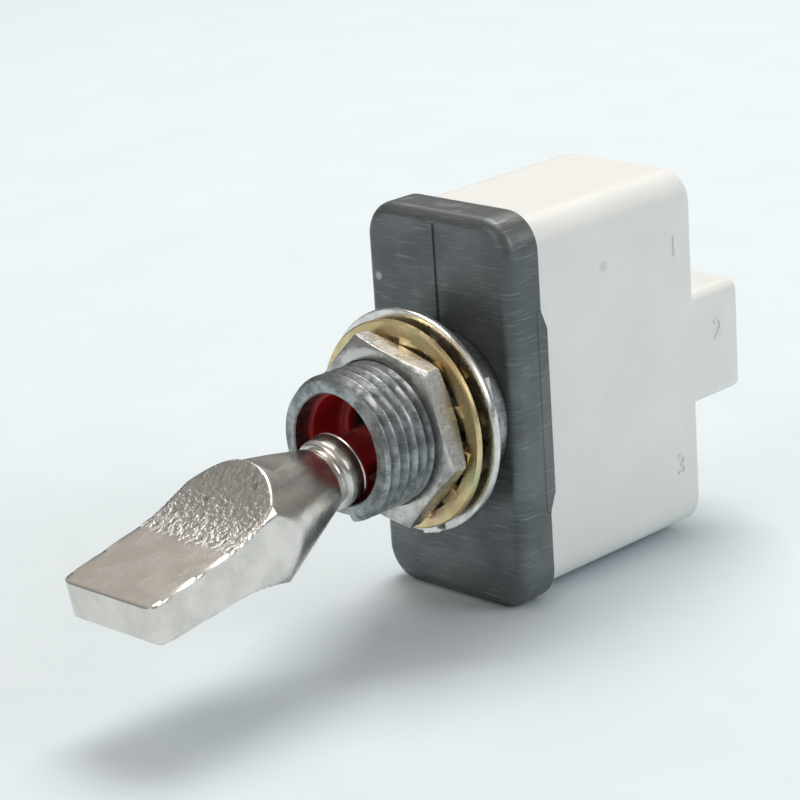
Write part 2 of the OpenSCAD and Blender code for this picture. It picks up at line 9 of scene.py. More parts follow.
import logging
import math
from dataclasses import dataclass, field
from enum import Enum
from typing import Callable, Optional, Sequence

import bpy
from mathutils import Matrix, Vector

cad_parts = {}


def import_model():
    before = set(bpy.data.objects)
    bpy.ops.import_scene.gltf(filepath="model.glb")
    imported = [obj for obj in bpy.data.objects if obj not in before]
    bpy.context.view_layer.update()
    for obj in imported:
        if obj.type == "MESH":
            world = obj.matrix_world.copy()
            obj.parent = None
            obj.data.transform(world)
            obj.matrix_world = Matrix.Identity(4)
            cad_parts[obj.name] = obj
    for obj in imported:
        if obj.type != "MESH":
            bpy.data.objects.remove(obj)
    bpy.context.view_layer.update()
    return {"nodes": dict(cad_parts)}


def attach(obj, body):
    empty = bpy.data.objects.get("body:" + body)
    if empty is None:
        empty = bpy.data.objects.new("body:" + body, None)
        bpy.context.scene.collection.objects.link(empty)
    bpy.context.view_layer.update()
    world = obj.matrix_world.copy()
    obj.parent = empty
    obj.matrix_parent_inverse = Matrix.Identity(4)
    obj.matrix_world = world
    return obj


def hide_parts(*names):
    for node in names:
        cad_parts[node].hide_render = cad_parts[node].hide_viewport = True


LOG = logging.getLogger("toggle_switch")

Point = tuple[float, float]
Colour = tuple[float, float, float]

MM = 0.001
ORIGIN_Z = 9.825          # the row frame's origin, in front of the cover plate's face
SWITCH = Matrix(((MM, 0, 0, 0), (0, 0, -MM, ORIGIN_Z * MM), (0, MM, 0, 0), (0, 0, 0, 1)))
PIVOT_Z = 3.8
LEVER_TILT = math.radians(10.0)
LEVER = SWITCH @ Matrix.Translation((0, 0, PIVOT_Z)) @ Matrix.Rotation(LEVER_TILT, 4, "X")


class Body(Enum):
    """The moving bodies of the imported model."""

    HOUSING = "housing"
    LEVER = "lever"
    PLUNGER = "plunger"
    ROCKER = "rocker"


class Cut(Enum):
    """What a tool solid does to the piece it meets."""

    REMOVE = "DIFFERENCE"
    KEEP = "INTERSECT"
    ADD = "UNION"


def soft_min(values: Sequence[float], blend: float) -> float:
    """Smallest of the values, with the corner between near-equal ones rounded off.

    Args:
        values: the candidates.
        blend: length over which two candidates melt into each other.

    Returns:
        The rounded minimum.
    """
    low = min(values)
    total = sum(math.exp(-(v - low) / blend) for v in values)
    return low - blend * math.log(total)


def ease(x: float, start: float, end: float) -> float:
    """Smooth step from 0 at start to 1 at end."""
    t = min(1.0, max(0.0, (x - start) / (end - start)))
    return t * t * (3 - 2 * t)


class Bench:
    """The workbench: Blender's own modelling operators, one small job each."""

    @staticmethod
    def clear() -> None:
        """Leave edit mode and deselect everything."""
        if bpy.context.object and bpy.context.object.mode != "OBJECT":
            bpy.ops.object.mode_set(mode="OBJECT")
        bpy.ops.object.select_all(action="DESELECT")

    @staticmethod
    def take(piece: bpy.types.Object) -> bpy.types.Object:
        """Make the piece the only selected and active one."""
        Bench.clear()
        piece.select_set(True)
        bpy.context.view_layer.objects.active = piece
        return piece

    @staticmethod
    def named(name: str) -> bpy.types.Object:
        """Name the active object and its mesh, and return it."""
        piece = bpy.context.object
        piece.name = name
        piece.data.name = name
        return piece

    @staticmethod
    def block(name: str, low: Sequence[float], high: Sequence[float]) -> bpy.types.Object:
        """A squared block between two corners.

        Args:
            name: the piece's name.
            low: lowest corner in millimetres.
            high: highest corner in millimetres.

        Returns:
            The new piece.
        """
        Bench.clear()
        centre = [(a + b) / 2 for a, b in zip(low, high)]
        bpy.ops.mesh.primitive_cube_add(size=1, location=centre)
        piece = Bench.named(name)
        piece.scale = [b - a for a, b in zip(low, high)]
        bpy.ops.object.transform_apply(location=True, rotation=True, scale=True)
        return piece

    @staticmethod
    def bar(name: str, radius: float, low: float, high: float, sides: int = 96,
            turn: float = 0.0) -> bpy.types.Object:
        """A round or many-sided bar along z.

        Args:
            name: the piece's name.
            radius: radius over its corners.
            low: lower end.
            high: upper end.
            sides: number of sides.
            turn: turn about z in radians.

        Returns:
            The new piece.
        """
        Bench.clear()
        bpy.ops.mesh.primitive_cylinder_add(vertices=sides, radius=radius, depth=high - low,
                                            location=(0, 0, (low + high) / 2),
                                            rotation=(0, 0, turn))
        piece = Bench.named(name)
        bpy.ops.object.transform_apply(location=True, rotation=True, scale=True)
        return piece

    @staticmethod
    def chain(name: str, points: Sequence[Sequence[float]]) -> bpy.types.Object:
        """A chain of edges through the points, left in edit mode and selected.

        Args:
            name: the piece's name.
            points: corners of the chain, in order.

        Returns:
            The new piece.
        """
        Bench.clear()
        bpy.ops.mesh.primitive_plane_add(size=1, location=(0, 0, 0))
        piece = Bench.named(name)
        bpy.ops.object.mode_set(mode="EDIT")
        bpy.ops.mesh.select_mode(type="VERT")
        bpy.ops.mesh.select_all(action="SELECT")
        bpy.ops.mesh.merge(type="CENTER")
        bpy.ops.transform.translate(value=points[0])
        for a, b in zip(points[:-1], points[1:]):
            step = [q - p for p, q in zip(a, b)]
            bpy.ops.mesh.extrude_region_move(TRANSFORM_OT_translate={"value": step})
        bpy.ops.mesh.select_all(action="SELECT")
        return piece

    @staticmethod
    def tidy(merge: float = 1e-4) -> None:
        """Merge doubles, turn every face outward and leave edit mode."""
        bpy.ops.mesh.select_all(action="SELECT")
        bpy.ops.mesh.remove_doubles(threshold=merge)
        bpy.ops.mesh.normals_make_consistent(inside=False)
        bpy.ops.object.mode_set(mode="OBJECT")

    @staticmethod
    def turned(name: str, profile: Sequence[Point], steps: int = 96,
               closed: bool = True) -> bpy.types.Object:
        """A piece turned about z from a profile of (radius, height) points.

        Args:
            name: the piece's name.
            profile: corners of the profile.
            steps: steps round the turn.
            closed: whether the profile returns to its first point.

        Returns:
            The new piece.
        """
        ring = list(profile) + ([profile[0]] if closed else [])
        piece = Bench.chain(name, [(r, 0.0, z) for r, z in ring])
        bpy.ops.mesh.spin(steps=steps, angle=2 * math.pi, center=(0, 0, 0), axis=(0, 0, 1))
        Bench.tidy()
        return piece

    @staticmethod
    def sheet_bar(name: str, outline: Sequence[Point], low: float, high: float) -> bpy.types.Object:
        """A bar along x whose section is an outline of (y, z) points.

        Args:
            name: the piece's name.
            outline: corners of the section.
            low: lower x.
            high: upper x.

        Returns:
            The new piece.
        """
        piece = Bench.chain(name, [(low, y, z) for y, z in list(outline) + [outline[0]]])
        bpy.ops.mesh.remove_doubles(threshold=1e-4)
        bpy.ops.mesh.edge_face_add()
        bpy.ops.mesh.extrude_region_move(TRANSFORM_OT_translate={"value": (high - low, 0, 0)})
        Bench.tidy()
        return piece

    @staticmethod
    def modify(piece: bpy.types.Object, kind: str, **settings: object) -> None:
        """Add a modifier with its settings and apply it.

        Args:
            piece: the piece it works on.
            kind: Blender's name of the modifier.
            settings: its values.
        """
        Bench.take(piece)
        modifier = piece.modifiers.new(kind.lower(), kind)
        for key, value in settings.items():
            setattr(modifier, key, value)
        bpy.ops.object.modifier_apply(modifier=modifier.name)

    @staticmethod
    def cut(piece: bpy.types.Object, tool: bpy.types.Object, how: Cut = Cut.REMOVE) -> None:
        """Combine a piece with a tool solid and throw the tool away."""
        Bench.modify(piece, "BOOLEAN", operation=how.value, solver="EXACT", object=tool)
        bpy.data.objects.remove(tool, do_unlink=True)

    @staticmethod
    def soften(piece: bpy.types.Object, width: float, segments: int = 3,
               angle: float = 30.0) -> None:
        """Round every edge that is sharper than the angle, in degrees."""
        Bench.modify(piece, "BEVEL", width=width, segments=segments, limit_method="ANGLE",
                     angle_limit=math.radians(angle), use_clamp_overlap=True,
                     miter_outer="MITER_ARC")

    @staticmethod
    def round_edges(piece: bpy.types.Object, pick: Callable[[Vector, Vector], bool],
                    radius: float, segments: int) -> None:
        """Round the edges that a test picks by their two ends.

        Args:
            piece: the piece it works on.
            pick: takes both ends of an edge.
            radius: the radius of the rounding.
            segments: facets across it.
        """
        Bench.take(piece)
        bpy.ops.object.mode_set(mode="EDIT")
        bpy.ops.mesh.select_mode(type="EDGE")
        bpy.ops.mesh.select_all(action="DESELECT")
        bpy.ops.object.mode_set(mode="OBJECT")
        points = piece.data.vertices
        for edge in piece.data.edges:
            a, b = (points[i].co for i in edge.vertices)
            edge.select = pick(a, b)
        bpy.ops.object.mode_set(mode="EDIT")
        bpy.ops.mesh.bevel(offset=radius, segments=segments, profile=0.5, affect="EDGES")
        Bench.tidy()

    @staticmethod
    def join(piece: bpy.types.Object, others: Sequence[bpy.types.Object]) -> bpy.types.Object:
        """Join the others into the piece."""
        Bench.take(piece)
        for other in others:
            other.select_set(True)
        bpy.ops.object.join()
        return piece

    @staticmethod
    def copy(piece: bpy.types.Object, change: Matrix) -> bpy.types.Object:
        """A copy with its own mesh, moved by a matrix."""
        Bench.take(piece)
        bpy.ops.object.duplicate(linked=False)
        twin = bpy.context.object
        twin.matrix_world = change @ twin.matrix_world
        bpy.ops.object.transform_apply(location=True, rotation=True, scale=True)
        return twin

    @staticmethod
    def finish(piece: bpy.types.Object, where: Matrix, smooth: float = 32.0,
               flat_first: bool = True) -> bpy.types.Object:
        """Lay a piece into the row frame and shade it.

        Args:
            piece: the finished mesh, in millimetres.
            where: its place in the row frame.
            smooth: angle in degrees under which faces shade as one.
            flat_first: whether broad flat faces keep a flat shade beside rounded edges.

        Returns:
            The piece.
        """
        Bench.take(piece)
        piece.matrix_world = where
        bpy.ops.object.transform_apply(location=True, rotation=True, scale=True)
        bpy.ops.object.shade_smooth_by_angle(angle=math.radians(smooth))
        if flat_first:
            Bench.modify(piece, "WEIGHTED_NORMAL", keep_sharp=True, weight=60)
        Bench.clear()
        return piece


class Nodes:
    """A short hand for building one node tree."""

    def __init__(self, tree: bpy.types.NodeTree) -> None:
        """Keep the tree that nodes are added to."""
        self.tree = tree

    def add(self, kind: str, **values: object) -> bpy.types.Node:
        """Add a node; a key with a number or name of a socket sets that input.

        Args:
            kind: Blender's name of the node.
            values: properties, and inputs under the key ``inputs`` as a dict.

        Returns:
            The node.
        """
        node = self.tree.nodes.new(kind)
        inputs = values.pop("inputs", {})
        for key, value in values.items():
            setattr(node, key, value)
        for key, value in inputs.items():
            if isinstance(value, bpy.types.NodeSocket):
                self.tree.links.new(value, node.inputs[key])
            else:
                node.inputs[key].default_value = value
        return node

    def math(self, operation: str, a: object, b: object = 0.0, clamp: bool = False) -> bpy.types.NodeSocket:
        """One arithmetic step."""
        return self.add("ShaderNodeMath", operation=operation, use_clamp=clamp,
                        inputs={0: a, 1: b}).outputs[0]

    def remap(self, value: bpy.types.NodeSocket, low: object, high: object,
              to_low: object = 0.0, to_high: object = 1.0) -> bpy.types.NodeSocket:
        """A smooth remap of a value to a new range."""
        return self.add("ShaderNodeMapRange", interpolation_type="SMOOTHSTEP",
                        inputs={0: value, 1: low, 2: high, 3: to_low, 4: to_high}).outputs[0]

    def mix(self, factor: object, a: object, b: object) -> bpy.types.NodeSocket:
        """Mix two colours by a factor."""
        return self.add("ShaderNodeMix", data_type="RGBA",
                        inputs={0: factor, 6: a, 7: b}).outputs[2]

    def group(self, tree: bpy.types.NodeTree, **values: object) -> bpy.types.Node:
        """Place a shared node group with its values."""
        node = self.tree.nodes.new("ShaderNodeGroup")
        node.node_tree = tree
        for key, value in values.items():
            if isinstance(value, bpy.types.NodeSocket):
                self.tree.links.new(value, node.inputs[key])
            else:
                node.inputs[key].default_value = value
        return node


class Effects:
    """Node groups shared by the finishes, each built once."""

    _made: dict[str, bpy.types.NodeTree] = {}

    @classmethod
    def _start(cls, name: str, inputs: Sequence[tuple[str, str, object]],
               outputs: Sequence[tuple[str, str]]) -> tuple[bpy.types.NodeTree, Nodes,
                                                           bpy.types.Node, bpy.types.Node]:
        """Open a new group with its sockets."""
        tree = bpy.data.node_groups.new(name, "ShaderNodeTree")
        for label, kind, value in inputs:
            socket = tree.interface.new_socket(name=label, in_out="INPUT", socket_type=kind)
            if value is not None:
                socket.default_value = value
        for label, kind in outputs:
            tree.interface.new_socket(name=label, in_out="OUTPUT", socket_type=kind)
        nodes = Nodes(tree)
        return tree, nodes, nodes.add("NodeGroupInput"), nodes.add("NodeGroupOutput")

    @classmethod
    def mottle(cls) -> bpy.types.NodeTree:
        """Blotches of a size in millimetres, as a mask from 0 to 1."""
        if "mottle" not in cls._made:
            tree, n, enter, leave = cls._start(
                "blotches", [("Vector", "NodeSocketVector", None), ("Size", "NodeSocketFloat", 1.0),
                             ("Low", "NodeSocketFloat", 0.35), ("High", "NodeSocketFloat", 0.65)],
                [("Mask", "NodeSocketFloat")])
            scale = n.math("DIVIDE", 1000.0, enter.outputs["Size"])
            noise = n.add("ShaderNodeTexNoise", inputs={"Vector": enter.outputs["Vector"],
                                                        "Scale": scale, "Detail": 4.0,
                                                        "Roughness": 0.6})
            mask = n.remap(noise.outputs[0], enter.outputs["Low"], enter.outputs["High"])
            n.tree.links.new(mask, leave.inputs["Mask"])
            cls._made["mottle"] = tree
        return cls._made["mottle"]

    @classmethod
    def scratches(cls) -> bpy.types.NodeTree:
        """Fine straight scratches in two directions, as a mask from 0 to 1."""
        if "scratches" not in cls._made:
            tree, n, enter, leave = cls._start(
                "fine_scratches", [("Vector", "NodeSocketVector", None),
                                   ("Amount", "NodeSocketFloat", 0.5)],
                [("Mask", "NodeSocketFloat")])
            masks = []
            for turn, seed in ((0.35, 0.0), (-0.9, 7.0), (1.4, 13.0)):
                spun = n.add("ShaderNodeMapping", inputs={
                    "Vector": enter.outputs["Vector"], "Rotation": (turn, 0.2 * turn, turn),
                    "Location": (seed, seed, 0), "Scale": (300.0, 300.0, 9000.0)})
                noise = n.add("ShaderNodeTexNoise", inputs={"Vector": spun.outputs[0],
                                                            "Scale": 1.0, "Detail": 1.0})
                masks.append(n.remap(noise.outputs[0], 0.66, 0.74))
            both = n.math("MAXIMUM", n.math("MAXIMUM", masks[0], masks[1]), masks[2])
            n.tree.links.new(n.math("MULTIPLY", both, enter.outputs["Amount"]),
                             leave.inputs["Mask"])
            cls._made["scratches"] = tree
        return cls._made["scratches"]

    @classmethod
    def pits(cls) -> bpy.types.NodeTree:
        """Small scattered pits or specks, as a mask from 0 to 1."""
        if "pits" not in cls._made:
            tree, n, enter, leave = cls._start(
                "small_pits", [("Vector", "NodeSocketVector", None),
                               ("Spacing", "NodeSocketFloat", 1.0),
                               ("Width", "NodeSocketFloat", 0.2),
                               ("Share", "NodeSocketFloat", 0.5)],
                [("Mask", "NodeSocketFloat")])
            scale = n.math("DIVIDE", 1000.0, enter.outputs["Spacing"])
            cells = n.add("ShaderNodeTexVoronoi", inputs={"Vector": enter.outputs["Vector"],
                                                          "Scale": scale})
            near = n.remap(cells.outputs["Distance"], n.math("MULTIPLY", enter.outputs["Width"], 0.5),
                           enter.outputs["Width"], 1.0, 0.0)
            pick = n.add("ShaderNodeSeparateColor", inputs={0: cells.outputs["Color"]})
            some = n.math("LESS_THAN", pick.outputs[0], enter.outputs["Share"])
            n.tree.links.new(n.math("MULTIPLY", near, some), leave.inputs["Mask"])
            cls._made["pits"] = tree
        return cls._made["pits"]


@dataclass(frozen=True)
class Finish:
    """A surface finish: base colour, second tone, gloss and the marks of making and use."""

    name: str
    colour: Colour
    tone: Colour
    metallic: float = 0.0
    roughness: float = 0.4
    rough_spread: float = 0.1
    blotch: float = 1.5
    blotch_range: Point = (0.35, 0.65)
    scratch: float = 0.0
    scratch_colour: Colour = (0.6, 0.6, 0.6)
    pit: float = 0.0
    pit_spacing: float = 1.2
    pit_colour: Colour = (0.1, 0.1, 0.1)
    grain: float = 0.0
    grain_size: float = 0.4
    coat: float = 0.0

    def build(self) -> bpy.types.Material:
        """Make the material once and return it."""
        known = bpy.data.materials.get(self.name)
        if known:
            return known
        material = bpy.data.materials.new(self.name)
        material.use_nodes = True
        material.node_tree.nodes.clear()
        nodes = Nodes(material.node_tree)
        place = nodes.add("ShaderNodeTexCoord").outputs["Object"]
        shader = nodes.add("ShaderNodeBsdfPrincipled")
        shader.inputs["Metallic"].default_value = self.metallic
        shader.inputs["Coat Weight"].default_value = self.coat
        shader.inputs["Coat Roughness"].default_value = 0.15
        colour, rough, height = self.surface(nodes, place)
        nodes.tree.links.new(colour, shader.inputs["Base Color"])
        nodes.tree.links.new(rough, shader.inputs["Roughness"])
        bump = nodes.add("ShaderNodeBump", inputs={"Strength": 1.0, "Distance": MM,
                                                   "Height": height})
        nodes.tree.links.new(bump.outputs[0], shader.inputs["Normal"])
        leave = nodes.add("ShaderNodeOutputMaterial")
        nodes.tree.links.new(shader.outputs[0], leave.inputs[0])
        return material

    def surface(self, nodes: Nodes, place: bpy.types.NodeSocket) -> tuple[
            bpy.types.NodeSocket, bpy.types.NodeSocket, bpy.types.NodeSocket]:
        """Colour, roughness and height of the surface.

        Args:
            nodes: the tree they are built in.
            place: position on the piece.

        Returns:
            The three sockets; height is in millimetres.
        """
        blotches = nodes.group(Effects.mottle(), Vector=place, Size=self.blotch,
                               Low=self.blotch_range[0], High=self.blotch_range[1]).outputs[0]
        colour = nodes.mix(blotches, (*self.tone, 1), (*self.colour, 1))
        rough = nodes.remap(blotches, 0.0, 1.0, self.roughness + self.rough_spread,
                            self.roughness)
        grain = nodes.group(Effects.mottle(), Vector=place, Size=self.grain_size,
                            Low=0.2, High=0.8).outputs[0]
        height = nodes.math("MULTIPLY", grain, self.grain)
        if self.scratch > 0:
            marks = nodes.group(Effects.scratches(), Vector=place, Amount=self.scratch).outputs[0]
            colour = nodes.mix(marks, colour, (*self.scratch_colour, 1))
            height = nodes.math("SUBTRACT", height, nodes.math("MULTIPLY", marks, 0.01))
        if self.pit > 0:
            pits = nodes.group(Effects.pits(), Vector=place, Spacing=self.pit_spacing,
                               Width=0.22, Share=self.pit).outputs[0]
            colour = nodes.mix(nodes.math("MULTIPLY", pits, 0.7), colour, (*self.pit_colour, 1))
            height = nodes.math("SUBTRACT", height, nodes.math("MULTIPLY", pits, 0.02))
        return colour, rough, height


@dataclass(frozen=True)
class LeverNickel(Finish):
    """Satin nickel on a casting: smooth flats and flanks, coarse skin inside the coves, whose colour is
    darkened there by a painted dark reflection.
    """

    cove_start: float = 17.2
    cove_end: float = 25.6
    cove_grain: float = 0.05

    def surface(self, nodes: Nodes, place: bpy.types.NodeSocket) -> tuple[
            bpy.types.NodeSocket, bpy.types.NodeSocket, bpy.types.NodeSocket]:
        """Add the coarse skin of the coves to the plain nickel as bumps, and darken the coves' colour as a
        painted dark reflection.
        """
        colour, rough, height = super().surface(nodes, place)
        along = LEVER.to_3x3() @ Vector((0, 0, 1)) / MM
        start = LEVER.translation
        offset = nodes.add("ShaderNodeVectorMath", operation="SUBTRACT",
                           inputs={0: place, 1: tuple(start)}).outputs[0]
        reach = nodes.math("MULTIPLY", nodes.add(
            "ShaderNodeVectorMath", operation="DOT_PRODUCT",
            inputs={0: offset, 1: tuple(along.normalized())}).outputs["Value"], 1 / MM)
        inside = nodes.math("MULTIPLY",
                            nodes.remap(reach, self.cove_start - 0.2, self.cove_start + 0.3),
                            nodes.remap(reach, self.cove_end - 1.4, self.cove_end, 1.0, 0.0))
        facing = nodes.add("ShaderNodeSeparateXYZ", inputs={
            0: nodes.add("ShaderNodeNewGeometry").outputs["Normal"]}).outputs[0]
        broad = nodes.remap(nodes.math("ABSOLUTE", facing), 0.12, 0.3, 1.0, 0.0)
        cove = nodes.math("MULTIPLY", inside, broad)
        skin = nodes.group(Effects.mottle(), Vector=place, Size=0.55, Low=0.3,
                           High=0.7).outputs[0]
        height = nodes.math("ADD", height, nodes.math(
            "MULTIPLY", nodes.math("MULTIPLY", skin, cove), self.cove_grain))
        # painted dark reflection: the coves' colour is mixed towards dark grey, standing in for the dark
        # reflection they show
        colour = nodes.mix(nodes.math("MULTIPLY", cove, 0.55), colour, (0.34, 0.35, 0.35, 1))
        return colour, rough, height


@dataclass(frozen=True)
class Chromate(Finish):
    """Yellow iridescent chromate: gold that drifts to pink and green."""

    def surface(self, nodes: Nodes, place: bpy.types.NodeSocket) -> tuple[
            bpy.types.NodeSocket, bpy.types.NodeSocket, bpy.types.NodeSocket]:
        """Drift the gold to pink and green in broad patches."""
        colour, rough, height = super().surface(nodes, place)
        pink = nodes.group(Effects.mottle(), Vector=place, Size=5.0, Low=0.5,
                           High=0.68).outputs[0]
        shifted = nodes.add("ShaderNodeVectorMath", operation="ADD",
                            inputs={0: place, 1: (0.031, 0.017, 0.043)}).outputs[0]
        green = nodes.group(Effects.mottle(), Vector=shifted, Size=6.0, Low=0.52,
                            High=0.7).outputs[0]
        colour = nodes.mix(nodes.math("MULTIPLY", pink, 0.6), colour, (0.72, 0.42, 0.4, 1))
        colour = nodes.mix(nodes.math("MULTIPLY", green, 0.55), colour, (0.42, 0.55, 0.36, 1))
        return colour, rough, height


class Finishes:
    """Every finish of the switch, by the record's material slot."""

    cover_metal = Finish("dark_plated_steel", (0.155, 0.17, 0.172), (0.115, 0.13, 0.135),
                         metallic=0.75, roughness=0.36, rough_spread=0.1, blotch=6.0,
                         scratch=0.35, scratch_colour=(0.4, 0.42, 0.42), pit=0.12,
                         pit_spacing=2.2, pit_colour=(0.5, 0.52, 0.52), grain=0.004,
                         grain_size=0.5)
    black_rubber = Finish("black_rubber", (0.03, 0.03, 0.032), (0.02, 0.02, 0.022),
                          roughness=0.6, grain=0.004)
    case_plastic = Finish("pale_moulding", (0.83, 0.845, 0.83), (0.79, 0.805, 0.79),
                          roughness=0.38, rough_spread=0.08, blotch=9.0, grain=0.006,
                          grain_size=0.9, pit=0.03, pit_spacing=4.0,
                          pit_colour=(0.55, 0.55, 0.52))
    bushing_metal = Finish("dull_grey_plate", (0.40, 0.42, 0.425), (0.2, 0.22, 0.225),
                           metallic=1.0, roughness=0.3, rough_spread=0.16, blotch=1.1,
                           scratch=0.3, scratch_colour=(0.7, 0.7, 0.7), grain=0.012,
                           grain_size=0.3)
    red_seal = Finish("red_silicone", (0.5, 0.012, 0.015), (0.38, 0.008, 0.012),
                      roughness=0.32, rough_spread=0.12, blotch=2.0, grain=0.01, coat=0.2)
    plain_steel = Finish("zinc_plated_steel", (0.62, 0.62, 0.62), (0.5, 0.5, 0.51),
                         metallic=1.0, roughness=0.28, rough_spread=0.12, blotch=1.5,
                         scratch=0.3, grain=0.006)
    nut_metal = Finish("dull_nickel", (0.62, 0.61, 0.58), (0.36, 0.36, 0.34), metallic=1.0,
                       roughness=0.26, rough_spread=0.16, blotch=1.3,
                       blotch_range=(0.3, 0.6), scratch=0.25,
                       scratch_colour=(0.85, 0.85, 0.83), grain=0.012, grain_size=0.35)
    ring_metal = Finish("bright_nickel", (0.8, 0.8, 0.78), (0.66, 0.66, 0.64), metallic=1.0,
                        roughness=0.2, rough_spread=0.1, blotch=1.8, grain=0.006)
    washer_chromate = Chromate("yellow_chromate", (0.78, 0.62, 0.33), (0.62, 0.48, 0.26),
                               metallic=1.0, roughness=0.26, rough_spread=0.12, blotch=2.2,
                               grain=0.006)
    lever_nickel = LeverNickel("satin_nickel", (0.76, 0.73, 0.69), (0.66, 0.635, 0.6),
                               metallic=1.0, roughness=0.2, rough_spread=0.08, blotch=2.6,
                               pit=0.2, pit_spacing=2.0, pit_colour=(0.3, 0.27, 0.24),
                               grain=0.004, grain_size=0.5)
    plunger_plastic = Finish("natural_nylon", (0.8, 0.76, 0.62), (0.74, 0.7, 0.56),
                             roughness=0.45, grain=0.003)
    terminal_brass = Finish("brass_strip", (0.72, 0.52, 0.22), (0.55, 0.38, 0.16),
                            metallic=1.0, roughness=0.28, rough_spread=0.15, blotch=2.0,
                            scratch=0.3, scratch_colour=(0.85, 0.7, 0.42), grain=0.004)
    contact_silver = Finish("silver_contact", (0.85, 0.85, 0.83), (0.68, 0.67, 0.64),
                            metallic=1.0, roughness=0.25, rough_spread=0.15, blotch=0.8,
                            grain=0.004, grain_size=0.2)

    @classmethod
    def of(cls, slot: str) -> bpy.types.Material:
        """The material of a slot."""
        return getattr(cls, slot).build()


def hand_over(piece: bpy.types.Object, slot: str, body: Body, *nodes: str) -> None:
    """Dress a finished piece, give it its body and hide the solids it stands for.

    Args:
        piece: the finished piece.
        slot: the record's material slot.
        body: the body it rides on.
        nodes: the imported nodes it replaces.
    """
    piece.data.materials.clear()
    piece.data.materials.append(Finishes.of(slot))
    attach(piece, body.value)
    if nodes:
        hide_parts(*nodes)
    LOG.info("%s: %d faces, %s", piece.name, len(piece.data.polygons), slot)


